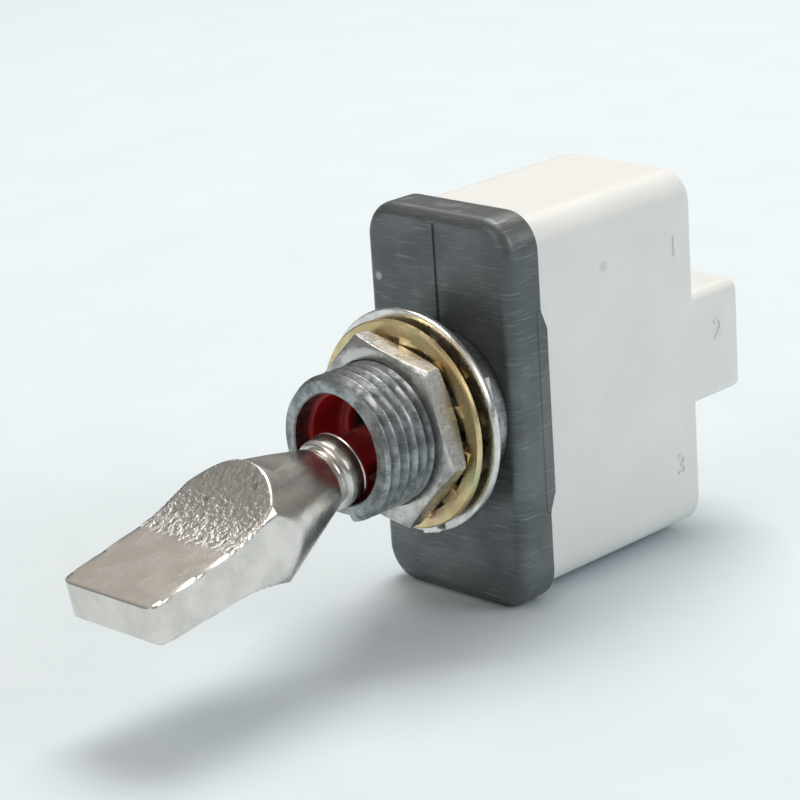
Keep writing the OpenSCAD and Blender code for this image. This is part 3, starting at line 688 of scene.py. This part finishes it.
@dataclass
class ToggleLever:
    """The cast lever: tail, ball, stem, collar, cone neck and the flat paddle."""

    reach: float = 33.0
    tail: float = 12.0
    paddle_w: float = 10.4
    tip_t: float = 3.2
    tip_slope: float = math.radians(2.5)
    tip_corner: float = 0.9
    edge: float = 0.28
    flat: float = 8.2
    crest: Point = (17.4, 5.0)
    flare: Point = (19.7, 5.8)
    neck: Point = (10.9, 2.7)
    collar: Point = (8.2, 3.0)
    stem_r: float = 1.9
    boss_r: float = 3.2
    tail_r: float = 2.1
    bore_r: float = 1.25
    bore_len: float = 7.0
    steps: int = 240

    def cove(self) -> tuple[float, float, float]:
        """Start of the cove on the flat, its height there and its radius."""
        start = self.reach - self.flat
        height = self.tip_t / 2 + self.flat * math.tan(self.tip_slope)
        run = start - self.crest[0]
        rise = self.crest[1] - height
        radius = (run * run + rise * rise) / (
            2 * (rise * math.cos(self.tip_slope) - run * math.sin(self.tip_slope)))
        return start, height, radius

    def broad(self, w: float) -> float:
        """Half thickness between the broad faces at a distance from the pivot."""
        start, height, radius = self.cove()
        if w >= start:
            return self.tip_t / 2 + (self.reach - w) * math.tan(self.tip_slope)
        centre_v = height + radius * math.cos(self.tip_slope)
        centre_w = start + radius * math.sin(self.tip_slope)
        inside = radius * radius - (w - centre_w) ** 2
        if w >= self.crest[0] and inside > 0:
            return centre_v - math.sqrt(inside)
        return 99.0

    def neck_back(self, w: float) -> float:
        """Half thickness of the neck behind the crest, where its top is dressed lower."""
        if w >= self.crest[0]:
            return 99.0
        cone = self.neck[1] + (self.crest[1] - self.neck[1]) * (
            (w - self.neck[0]) / (self.crest[0] - self.neck[0]))
        drop = 0.5 * ease(w, 12.5, 16.6) * (1 - ease(w, 16.7, self.crest[0]))
        return cone - drop if w > self.neck[0] + 0.4 else 99.0

    def profile(self) -> list[Point]:
        """The turned profile, close enough for the broad faces to be pressed into it."""
        points: list[Point] = [(0.0, self.bore_len - self.tail), (self.bore_r, self.bore_len - self.tail),
                               (self.bore_r, -self.tail), (self.tail_r - 0.3, -self.tail),
                               (self.tail_r, -self.tail + 0.3)]
        for i in range(13):
            low = math.asin(-math.sqrt(self.boss_r**2 - self.tail_r**2) / self.boss_r)
            high = math.asin(math.sqrt(self.boss_r**2 - self.stem_r**2) / self.boss_r)
            a = low + (high - low) * i / 12
            points.append((self.boss_r * math.cos(a), self.boss_r * math.sin(a)))
        rear, wide = self.collar
        front, groove = self.neck[0] - 0.5, self.neck[1] - 0.22
        points += [(self.stem_r, 4.5), (self.stem_r, rear - 0.1), (self.stem_r + 0.1, rear),
                   (wide - 0.25, rear), (wide - 0.07, rear + 0.07), (wide, rear + 0.25),
                   (wide, rear + 0.42), (wide - 0.09, rear + 0.5), (wide, rear + 0.58)]
        for i in range(9):
            a = math.pi / 2 * i / 8
            points.append((wide - 0.5 + 0.5 * math.cos(a), front - 0.5 + 0.5 * math.sin(a)))
        points += [(groove, self.neck[0] - 0.38),
                   (groove, self.neck[0] - 0.2), (groove + 0.05, self.neck[0] - 0.1),
                   (self.neck[1], self.neck[0] + 0.06)]
        steps = 26
        for i in range(1, steps + 1):
            w = self.neck[0] + 0.06 + (self.crest[0] - 1.0 - self.neck[0] - 0.06) * i / steps
            points.append((self.cone(w), w))
        w = self.crest[0] - 1.0
        while w < self.reach - 0.6:
            w += 0.11
            points.append((self.cone(w), w))
        for i in range(1, 11):
            w = self.reach - self.edge * (1 - math.sin(math.pi / 2 * i / 10))
            points.append((self.cone(w), w))
        points += [(4.6, self.reach), (3.4, self.reach), (2.2, self.reach), (1.0, self.reach),
                   (0.0, self.reach)]
        return points

    def cone(self, w: float) -> float:
        """Turned radius of the neck, the flare or the paddle's corners."""
        tip_r = math.hypot(self.paddle_w / 2, self.tip_t / 2)
        table = [self.neck, self.crest, self.flare, (self.reach, tip_r + 0.02)]
        for (w0, r0), (w1, r1) in zip(table[:-1], table[1:]):
            if w <= w1 + 1e-9:
                return r0 + (r1 - r0) * (w - w0) / (w1 - w0)
        return tip_r

    def press(self, piece: bpy.types.Object) -> None:
        """Press the side planes, coves and flats into the turned blank."""
        for point in piece.data.vertices:
            x, v, w = point.co
            r = math.hypot(x, v)
            if w < self.neck[0] + 0.3 or r < 1e-6:
                continue
            corner = 0.0
            if w > self.reach - self.tip_corner:
                corner = self.tip_corner - math.sqrt(max(
                    0.0, self.tip_corner**2 - (w - self.reach + self.tip_corner) ** 2))
            round_off = 0.0
            if w > self.reach - self.edge:
                round_off = self.edge - math.sqrt(max(
                    0.0, self.edge**2 - (w - self.reach + self.edge) ** 2))
            c, s = abs(x) / r, abs(v) / r
            side = self.paddle_w / 2 - corner - round_off * 0.4
            limits = [self.cone(w) - round_off]
            if c > 0.05:
                limits.append(side / c)
            if s > 0.05:
                limits.append((self.broad(w) - round_off) / s)
                limits.append(self.neck_back(w) / s)
            edge = soft_min(limits, 0.055)
            if w < self.reach - 1e-6:
                point.co.x, point.co.y = x / r * edge, v / r * edge
            else:
                share = min(1.0, r / (self.cone(w)))
                point.co.x, point.co.y = x / r * edge * share, v / r * edge * share

    def build(self) -> bpy.types.Object:
        """Turn the blank, press it, drill the pin hole and lay it on the pivot."""
        lever = Bench.turned("toggle_lever_casting", self.profile(), self.steps, closed=False)
        self.press(lever)
        pin_hole = Bench.bar("pin_hole", 0.85, -5, 5, 32)
        pin_hole.matrix_world = Matrix.Rotation(math.pi / 2, 4, "Y")
        Bench.cut(lever, pin_hole)
        Bench.finish(lever, LEVER, 40, flat_first=False)
        hand_over(lever, "lever_nickel", Body.LEVER, "toggle_lever")
        return lever


@dataclass
class Bushing:
    """The threaded bushing with its shoulder, bore, keyway and pivot holes."""

    thread_r: float = 6.0
    pitch: float = 1.0
    depth: float = 0.56
    length: float = 12.5
    bore_r: float = 4.55
    throat_r: float = 3.6
    throat_len: float = 7.2
    shoulder_r: float = 7.0
    shoulder_t: float = 1.35
    spigot_r: float = 5.0
    rear: float = -1.5
    chamfer: float = 0.4
    keyway: Point = (2.4, 0.8)

    def thread(self) -> bpy.types.Object:
        """One helical thread, trimmed flat at both ends to a closed rod."""
        root, low = self.thread_r - self.depth, self.shoulder_t - 1.5
        tooth = [(root, 0.0), (root, 0.12), (self.thread_r - 0.03, 0.42),
                 (self.thread_r - 0.03, 0.56), (root, 0.88), (root, 1.0)]
        turns = int(self.length - low) + 3
        rod = Bench.chain("threaded_bushing_barrel",
                          [(r, 0.0, low - 1 + z * self.pitch) for r, z in tooth])
        bpy.ops.object.mode_set(mode="OBJECT")
        Bench.modify(rod, "SCREW", axis="Z", angle=2 * math.pi, screw_offset=self.pitch,
                     iterations=turns, steps=96, render_steps=96, use_merge_vertices=True,
                     merge_threshold=1e-4, use_normal_calculate=True)
        Bench.take(rod)
        bpy.ops.object.mode_set(mode="EDIT")
        bpy.ops.mesh.select_all(action="SELECT")
        bpy.ops.mesh.remove_doubles(threshold=1e-4)
        bpy.ops.mesh.bisect(plane_co=(0, 0, self.shoulder_t - 0.3), plane_no=(0, 0, 1),
                            clear_inner=True, use_fill=True)
        bpy.ops.mesh.select_all(action="SELECT")
        bpy.ops.mesh.bisect(plane_co=(0, 0, self.length + 0.4), plane_no=(0, 0, 1),
                            clear_outer=True, use_fill=True)
        Bench.tidy()
        return rod

    def build(self) -> bpy.types.Object:
        """Trim the thread to its chamfered, bored envelope and add shoulder and spigot."""
        barrel = self.thread()
        tip, far = self.length, self.thread_r + 0.5
        lip = self.chamfer
        envelope = Bench.turned("envelope", [
            (self.throat_r, self.shoulder_t - 0.2), (far, self.shoulder_t - 0.2),
            (far, tip - lip - 0.5), (self.thread_r - lip, tip),
            (self.bore_r + 0.12, tip), (self.bore_r, tip - 0.12),
            (self.bore_r, self.throat_len + 0.1), (self.bore_r - 0.1, self.throat_len),
            (self.throat_r, self.throat_len)])
        Bench.cut(barrel, envelope, Cut.KEEP)
        width, depth = self.keyway
        slot = Bench.block("keyway", (-width / 2, -self.thread_r - 1, self.shoulder_t - 1),
                           (width / 2, -self.thread_r + depth, tip + 1))
        Bench.cut(barrel, slot)
        foot = Bench.turned("shoulder", [
            (self.throat_r + 0.5, self.rear), (self.spigot_r + 0.8, self.rear),
            (self.spigot_r + 0.8, -0.8), (self.spigot_r, -0.8), (self.spigot_r, 0.0),
            (self.shoulder_r - 0.1, 0.0), (self.shoulder_r, 0.1),
            (self.shoulder_r, self.shoulder_t - 0.15), (self.shoulder_r - 0.15, self.shoulder_t),
            (self.throat_r, self.shoulder_t), (self.throat_r, self.rear + 0.5)])
        Bench.join(barrel, [foot])
        pin_hole = Bench.bar("pin_hole", 0.82, -8, 8, 32)
        pin_hole.matrix_world = Matrix.Translation((0, 0, PIVOT_Z)) @ Matrix.Rotation(
            math.pi / 2, 4, "Y")
        Bench.cut(barrel, pin_hole)
        Bench.finish(barrel, SWITCH, 24)
        hand_over(barrel, "bushing_metal", Body.HOUSING, "threaded_bushing")
        return barrel


@dataclass
class LeverSeal:
    """The red sealing ring that lines the bushing's open bore."""

    bore_r: float = 4.55
    throat_len: float = 7.2
    lip_z: float = 10.9
    lip_t: float = 0.45
    web_t: float = 0.8
    hole_r: float = 2.99

    def build(self) -> bpy.types.Object:
        """Turn the ring with a soft lip and web."""
        z, b = self.throat_len, self.bore_r
        inner = b - self.lip_t
        seal = Bench.turned("lever_seal_ring", [
            (self.hole_r, z), (b, z), (b, self.lip_z), (b - 0.1, self.lip_z),
            (inner + 0.08, self.lip_z - 0.08), (inner, self.lip_z - 0.3),
            (inner, z + self.web_t + 0.5), (inner - 0.15, z + self.web_t + 0.15),
            (inner - 0.5, z + self.web_t), (self.hole_r + 0.15, z + self.web_t),
            (self.hole_r, z + self.web_t - 0.15)])
        Bench.finish(seal, SWITCH, 50, flat_first=False)
        hand_over(seal, "red_seal", Body.HOUSING, "lever_seal")
        return seal


@dataclass
class HexNut:
    """A thin hex nut, chamfered on both faces."""

    node: str
    low: float
    turn: float
    across: float = 14.0
    thick: float = 2.0
    bore_r: float = 5.7

    def build(self) -> bpy.types.Object:
        """Cut the hexagon with its chamfer cones and bore, then break its edges."""
        corner = self.across / math.sqrt(3)
        flat = self.across / 2 - 0.1
        past = corner + 0.5
        bevel = (past - flat) * math.tan(math.radians(18))
        nut = Bench.bar(self.node + "_hex", corner, 0, self.thick, 6,
                        math.pi / 2 + math.radians(self.turn))
        cone = Bench.turned("cones", [
            (self.bore_r, 0.35), (self.bore_r + 0.35, 0), (flat, 0), (past, bevel),
            (past, self.thick - bevel), (flat, self.thick), (self.bore_r + 0.35, self.thick),
            (self.bore_r, self.thick - 0.35)], 120)
        Bench.cut(nut, cone, Cut.KEEP)
        Bench.soften(nut, 0.06, 2, 22)
        Bench.finish(nut, SWITCH @ Matrix.Translation((0, 0, self.low)), 30)
        hand_over(nut, "nut_metal", Body.HOUSING, self.node)
        return nut


@dataclass
class LockWasher:
    """The toothed lock washer under the front nut."""

    low: float = 4.7
    outer_r: float = 8.65
    thick: float = 0.6
    teeth: int = 12
    twist: float = math.radians(12)
    inner_r: float = 6.15
    root_r: float = 7.35

    def build(self) -> bpy.types.Object:
        """Model the rim and one twisted tooth, and copy the tooth round."""
        rim = Bench.turned("lock_washer_teeth", [
            (self.root_r, 0.05), (self.root_r + 0.05, 0), (self.outer_r - 0.12, 0),
            (self.outer_r, 0.12), (self.outer_r, self.thick - 0.12),
            (self.outer_r - 0.12, self.thick), (self.root_r + 0.05, self.thick),
            (self.root_r, self.thick - 0.05)])
        half = math.pi * self.inner_r / self.teeth * 0.7
        tooth = Bench.block("tooth", (self.inner_r, -half, -self.thick / 2),
                            (self.root_r + 0.3, half, self.thick / 2))
        Bench.soften(tooth, 0.07, 2)
        lift = Matrix.Translation((0, 0, self.thick / 2))
        copies = [Bench.copy(tooth, Matrix.Rotation((i + 0.5) * 2 * math.pi / self.teeth, 4, "Z")
                             @ lift @ Matrix.Rotation(self.twist, 4, "X"))
                  for i in range(self.teeth)]
        bpy.data.objects.remove(tooth, do_unlink=True)
        Bench.join(rim, copies)
        Bench.finish(rim, SWITCH @ Matrix.Translation((0, 0, self.low)), 35)
        hand_over(rim, "washer_chromate", Body.HOUSING, "lock_washer")
        return rim


@dataclass
class LockingRing:
    """The keyed ring whose bent tab stops the switch turning in its panel."""

    low: float = 3.35
    outer_r: float = 9.3
    thick: float = 0.7
    bore_r: float = 6.02
    tab_w: float = 1.8
    tab_rise: float = 0.5
    notch: float = 0.4
    tab_turn: float = math.radians(13)

    def build(self) -> bpy.types.Object:
        """Turn the ring, notch it and raise the tab between the notches."""
        ring = Bench.turned("locking_ring_keyed", [
            (self.bore_r, 0.08), (self.bore_r + 0.08, 0), (self.outer_r - 0.18, 0),
            (self.outer_r - 0.05, 0.05), (self.outer_r, 0.18), (self.outer_r, self.thick - 0.18),
            (self.outer_r - 0.05, self.thick - 0.05), (self.outer_r - 0.18, self.thick),
            (self.bore_r + 0.08, self.thick), (self.bore_r, self.thick - 0.08)], 128)
        turn = Matrix.Rotation(self.tab_turn, 4, "Z")
        for side in (-1, 1):
            inner, outer = self.tab_w / 2, self.tab_w / 2 + self.notch
            low, high = sorted((side * inner, side * outer))
            notch = Bench.block("notch", (low, -self.outer_r - 1, -1),
                                (high, -self.outer_r + 1, self.thick + 1))
            notch.matrix_world = turn
            Bench.cut(ring, notch)
        half = self.tab_w / 2 - 0.01
        tab = Bench.block("tab", (-half, -self.outer_r + 0.03, self.thick / 2),
                          (half, -self.outer_r + self.thick, self.thick + self.tab_rise))
        Bench.soften(tab, 0.12, 3)
        tab.matrix_world = turn
        key = Bench.block("key", (-1.05, -self.bore_r - 0.3, 0), (1.05, -5.35, self.thick))
        Bench.soften(key, 0.06, 2)
        Bench.join(ring, [tab, key])
        Bench.finish(ring, SWITCH @ Matrix.Translation((0, 0, self.low)), 35)
        hand_over(ring, "ring_metal", Body.HOUSING, "locking_ring")
        return ring


@dataclass
class CoverPlate:
    """The pressed cover plate with its bent skirt and engraved index line."""

    width: float = 15.7
    height: float = 32.8
    sheet: float = 0.8
    corner: float = 3.0
    bend: float = 1.0
    skirt: float = 3.6
    tongue: float = 0.65
    tongue_half: float = 6.9
    tongue_slope: float = 1.6
    index_w: float = 0.35
    index_depth: float = 0.15
    spigot_r: float = 5.02

    def shell(self, inset: float, front: float, rear: float, bend: float) -> bpy.types.Object:
        """A block with round corners and a rounded front edge.

        Args:
            inset: how far its sides stand inside the plate's.
            front: z of its front face.
            rear: z of its rear face.
            bend: radius of its front edge, or 0.

        Returns:
            The block.
        """
        x, y = self.width / 2 - inset, self.height / 2 - inset
        block = Bench.block("shell", (-x, -y, rear), (x, y, front))
        Bench.round_edges(block, lambda a, b: abs(a.z - b.z) > 1e-3, self.corner - inset, 12)
        if bend > 0:
            Bench.round_edges(block, lambda a, b: min(a.z, b.z) > front - 1e-4, bend, 6)
        return block

    def build(self) -> bpy.types.Object:
        """Hollow the block, add the deeper stretches and cut the hole and index line."""
        plate = self.shell(0, 0, -self.skirt, self.bend)
        plate.name = "cover_plate_pressing"
        for side in (-1, 1):
            low, high = sorted((side * (self.width / 2 - self.sheet), side * self.width / 2))
            half, slope, deep = self.tongue_half, self.tongue_slope, -self.skirt - self.tongue
            tongue = Bench.sheet_bar("tongue", [
                (half + slope, -self.skirt), (half, deep), (-half, deep),
                (-half - slope, -self.skirt), (-half - slope, -self.skirt + 0.5),
                (half + slope, -self.skirt + 0.5)], low, high)
            Bench.cut(plate, tongue, Cut.ADD)
        Bench.cut(plate, self.shell(self.sheet, -self.sheet, -self.skirt - 2, 0))
        Bench.cut(plate, Bench.bar("hole", self.spigot_r, -2, 1))
        line = Bench.block("index", (-self.index_w / 2, 7.0, -self.index_depth),
                           (self.index_w / 2, self.height / 2 - self.bend, 1))
        Bench.cut(plate, line)
        Bench.soften(plate, 0.05, 2, 40)
        Bench.finish(plate, SWITCH, 30)
        hand_over(plate, "cover_metal", Body.HOUSING, "cover_plate")
        return plate


@dataclass
class CaseMarks:
    """Raised figures beside the three terminals."""

    side_x: float = 7.5
    size: float = 2.6
    rise: float = 0.12
    places: tuple[tuple[str, float, float], ...] = (
        ("1", 9.6, -20.6), ("2", 1.1, -26.0), ("3", -9.6, -20.6))

    def build(self) -> list[bpy.types.Object]:
        """Make each figure and stand it flat on the case's right side."""
        made = []
        for figure, up, back in self.places:
            Bench.clear()
            bpy.ops.object.text_add()
            text = bpy.context.object
            text.data.body = figure
            text.data.size = self.size
            text.data.align_x, text.data.align_y = "CENTER", "CENTER"
            text.data.extrude = self.rise
            bpy.ops.object.convert(target="MESH")
            mark = Bench.named("terminal_figure_" + figure)
            turn = Matrix(((0, 0, 1, self.side_x), (0, 1, 0, up), (-1, 0, 0, back), (0, 0, 0, 1)))
            Bench.finish(mark, SWITCH @ turn, 30)
            hand_over(mark, "case_plastic", Body.HOUSING)
            made.append(mark)
        return made


@dataclass
class TerminalScrew:
    """A cheese-head terminal screw with its slot."""

    node: str
    up: float
    face: float
    head_r: float = 3.0
    head_h: float = 1.8
    shank_r: float = 1.75
    length: float = 4.0
    slot_w: float = 0.9

    def build(self) -> bpy.types.Object:
        """Turn the screw with a rounded head and cut its slot."""
        h, r, s = self.head_h, self.head_r, self.shank_r
        screw = Bench.turned(self.node + "_turned", [
            (0.0, self.length), (s - 0.4, self.length), (s, self.length - 0.4),
            (s, 0.0), (r - 0.08, 0.0), (r, -0.08), (r, -h + 0.55), (r - 0.08, -h + 0.36),
            (r - 0.25, -h + 0.2), (r - 0.6, -h + 0.08), (r * 0.5, -h + 0.015), (0.0, -h)],
            72, closed=False)
        Bench.cut(screw, Bench.block("slot", (-5, -self.slot_w / 2, -h - 1),
                                     (5, self.slot_w / 2, -h + h * 0.55)))
        place = Matrix.Translation((0, self.up, -self.face - 0.8 - 0.6))
        Bench.finish(screw, SWITCH @ place, 30)
        hand_over(screw, "plain_steel", Body.HOUSING, self.node)
        return screw


@dataclass
class PackedNodes:
    """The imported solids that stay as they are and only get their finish."""

    slots: dict[str, str] = field(default_factory=dict)

    def dress(self, nodes: dict[str, bpy.types.Object]) -> None:
        """Give every node the finish of its slot."""
        for name, slot in self.slots.items():
            piece = nodes[name]
            piece.data.materials.clear()
            piece.data.materials.append(Finishes.of(slot))
            LOG.info("%s keeps its solid, %s", name, slot)


@dataclass
class Softbox:
    """A plain studio lamp."""

    name: str
    place: tuple[float, float, float]
    size: float
    power: float
    colour: Colour = (1.0, 1.0, 1.0)

    def build(self, aim: Vector) -> None:
        """Hang the lamp and point it at the switch."""
        data = bpy.data.lights.new(self.name, "AREA")
        data.shape, data.size, data.energy = "SQUARE", self.size, self.power
        data.color = self.colour
        lamp = bpy.data.objects.new(self.name, data)
        bpy.context.scene.collection.objects.link(lamp)
        lamp.location = self.place
        lamp.rotation_euler = (aim - Vector(self.place)).to_track_quat("-Z", "Y").to_euler()


@dataclass
class Studio:
    """Floor, lamps, surroundings and camera."""

    floor_z: float = -16.4
    azimuth: float = math.radians(45.495)
    elevation: float = math.radians(18.098)
    roll: float = math.radians(-3.925)
    across: float = -3.596
    above: float = 0.592
    distance: float = 242.977
    lens: float = 135.0
    lamps: tuple[Softbox, ...] = (
        Softbox("key_softbox", (-0.16, 0.22, 0.56), 0.34, 2.6, (1.0, 0.965, 0.92)),
        Softbox("side_softbox", (0.50, 0.28, 0.32), 0.30, 1.0, (0.95, 0.98, 1.0)),
        Softbox("front_softbox", (-0.10, -0.60, 0.30), 0.30, 0.8, (1.0, 0.97, 0.94)))

    def floor(self) -> None:
        """Lay the pale floor."""
        Bench.clear()
        bpy.ops.mesh.primitive_grid_add(x_subdivisions=2, y_subdivisions=2, size=8.0,
                                        location=(0, 0, self.floor_z * MM))
        floor = Bench.named("studio_floor")
        material = bpy.data.materials.new("pale_paper")
        material.use_nodes = True
        material.node_tree.nodes.clear()
        nodes = Nodes(material.node_tree)
        place = nodes.add("ShaderNodeTexCoord").outputs["Object"]
        fibre = nodes.group(Effects.mottle(), Vector=place, Size=14.0, Low=0.3,
                            High=0.7).outputs[0]
        colour = nodes.mix(fibre, (0.70, 0.78, 0.83, 1), (0.72, 0.80, 0.85, 1))
        shader = nodes.add("ShaderNodeBsdfPrincipled", inputs={"Base Color": colour,
                                                               "Roughness": 0.85})
        shader.inputs["Specular IOR Level"].default_value = 0.2
        nodes.tree.links.new(shader.outputs[0], nodes.add("ShaderNodeOutputMaterial").inputs[0])
        floor.data.materials.append(material)

    def surroundings(self) -> None:
        """A room that is pale overhead and dim near the horizon, pale to the camera."""
        world = bpy.data.worlds.new("studio")
        bpy.context.scene.world = world
        world.use_nodes = True
        world.node_tree.nodes.clear()
        nodes = Nodes(world.node_tree)
        up = nodes.add("ShaderNodeSeparateXYZ", inputs={
            0: nodes.add("ShaderNodeTexCoord").outputs["Generated"]}).outputs[2]
        room = nodes.mix(nodes.remap(up, 0.05, 0.75), (0.16, 0.165, 0.17, 1),
                         (0.52, 0.49, 0.45, 1))
        colour = nodes.mix(nodes.add("ShaderNodeLightPath").outputs["Is Camera Ray"], room,
                           (0.86, 0.9, 0.93, 1))
        glow = nodes.add("ShaderNodeBackground", inputs={0: colour, 1: 1.0})
        nodes.tree.links.new(glow.outputs[0], nodes.add("ShaderNodeOutputWorld").inputs[0])

    def camera(self) -> None:
        """Stand the camera at its measured place."""
        a, e, r = self.azimuth, self.elevation, self.roll
        back = Vector((math.sin(a) * math.cos(e), -math.cos(a) * math.cos(e), math.sin(e)))
        level = Vector((math.cos(a), math.sin(a), 0))
        rise = back.cross(level)
        right = level * math.cos(r) + rise * math.sin(r)
        up = rise * math.cos(r) - level * math.sin(r)
        data = bpy.data.cameras.new("view")
        data.lens, data.sensor_width, data.clip_start, data.clip_end = self.lens, 36.0, 0.01, 20.0
        camera = bpy.data.objects.new("view", data)
        bpy.context.scene.collection.objects.link(camera)
        place = (right * self.across + up * self.above + back * self.distance) * MM
        place.y += ORIGIN_Z * MM
        camera.matrix_world = Matrix.Translation(place) @ Matrix(
            (right, up, back)).transposed().to_4x4()
        bpy.context.scene.camera = camera

    def build(self) -> None:
        """Set the whole studio."""
        self.floor()
        self.surroundings()
        aim = Vector((0, 0.008, -0.002))
        for lamp in self.lamps:
            lamp.build(aim)
        self.camera()
        scene = bpy.context.scene
        scene.view_settings.view_transform = "Standard"


def main() -> None:
    """Build the switch piece by piece, then the studio."""
    logging.basicConfig(level=logging.INFO, format="%(name)s: %(message)s")
    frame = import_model()
    Studio().build()
    ToggleLever().build()
    Bushing().build()
    LeverSeal().build()
    HexNut("back_nut", 1.35, -28).build()
    HexNut("front_nut", 5.55, -13).build()
    LockingRing().build()
    LockWasher().build()
    CoverPlate().build()
    CaseMarks().build()
    for name, up, face in (("upper_terminal_screw", 10.6, 23.0),
                           ("centre_terminal_screw", 0.0, 28.8),
                           ("lower_terminal_screw", -10.6, 23.0)):
        TerminalScrew(name, up, face).build()
    PackedNodes({
        "cover_gasket": "black_rubber", "case_body": "case_plastic", "pivot_pin": "plain_steel",
        "drive_plunger": "plunger_plastic", "plunger_spring": "plain_steel",
        "contact_rocker": "terminal_brass", "upper_moving_contact": "contact_silver",
        "lower_moving_contact": "contact_silver", "rocker_support": "terminal_brass",
        "upper_fixed_contact": "contact_silver", "lower_fixed_contact": "contact_silver",
        "upper_terminal": "terminal_brass", "centre_terminal": "terminal_brass",
        "lower_terminal": "terminal_brass", "upper_terminal_washer": "plain_steel",
        "centre_terminal_washer": "plain_steel", "lower_terminal_washer": "plain_steel",
    }).dress(frame["nodes"])


if __name__ == "__main__":
    main()
